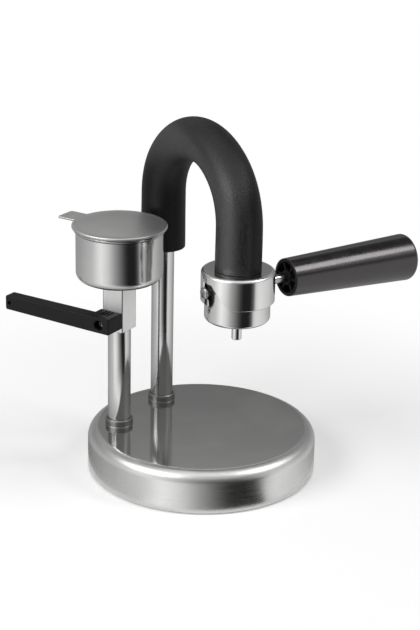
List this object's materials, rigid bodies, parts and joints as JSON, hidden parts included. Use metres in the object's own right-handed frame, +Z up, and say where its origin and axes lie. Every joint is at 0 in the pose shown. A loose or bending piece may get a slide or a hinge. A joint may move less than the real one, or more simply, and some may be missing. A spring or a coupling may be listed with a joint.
{
  "type": "stovetop espresso maker",
  "caption": "Stovetop espresso maker: flat round boiler, bent riser with foam sleeve, bayonet filter holder with side handle, and filling cup on a lever cock.",
  "frame": {"origin": "centre of the boiler's underside, where it stands on the stove", "axes": "+Z up, +X from the riser tube to the brewing group, +Y to the filter holder's handle"},
  "size_m": [0.1668, 0.2312, 0.2345],
  "materials": {
    "polished_steel": "polished",
    "steel": "satin",
    "foam": "matte, finely grained",
    "silicone": "matte",
    "black_plastic": "polished",
    "lever_plastic": "moulded",
    "seal_plastic": "moulded",
    "brass": "turned"
  },
  "bodies": {
    "stand": {"boiler_shell": "polished_steel", "boiler_floor": "steel", "fill_boss": "steel", "column_boss": "steel", "fill_tube": "steel", "riser_tube": "steel", "arm_sleeve": "foam", "group_head": "steel", "group_gasket": "silicone", "shower_screen": "polished_steel", "valve_body": "steel", "lower_seat": "seal_plastic", "upper_seat": "seal_plastic", "stem_packing": "seal_plastic", "cup_nipple": "steel", "cup_washer": "seal_plastic", "filling_cup": "steel", "relief_body": "brass", "relief_nut": "brass"},
    "cock": {"valve_lever": "lever_plastic", "lever_screw": "polished_steel", "valve_stem": "polished_steel", "valve_ball": "polished_steel"},
    "lid": {"cup_lid": "steel"},
    "basket": {"filter_basket": "polished_steel"},
    "holder": {"holder_body": "steel", "spout": "polished_steel", "lock_pin": "polished_steel", "handle_stud": "polished_steel", "handle_grip": "black_plastic"},
    "relief": {"relief_pin": "polished_steel"}
  },
  "joints": [
    {"name": "cock_turn", "type": "hinge", "parent": "stand", "child": "cock", "pos_m": [-0.02984, -0.0456, 0.1042], "axis": [0.4226, -0.9063, 0], "range_deg": [0, 90]},
    {"name": "lid_lift", "type": "slide", "parent": "stand", "child": "lid", "axis": [0, 0, 1], "range_m": [0, 0.04]},
    {"name": "holder_drop", "type": "slide", "parent": "stand", "child": "basket", "axis": [0, 0, -1], "range_m": [0, 0.01318]},
    {"name": "holder_turn", "type": "hinge", "parent": "basket", "child": "holder", "pos_m": [0.0383, 0, 0.137], "axis": [0, 0, 1], "range_deg": [0, 46]},
    {"name": "relief_pin_slide", "type": "slide", "parent": "stand", "child": "relief", "axis": [-1, 0, 0], "range_m": [0, 0.0015], "stiffness_N_per_m": 2000}
  ],
  "couplings": [
    {"joint": "holder_drop", "follows": "holder_turn", "m_per_rad": 0.015915}
  ]
}
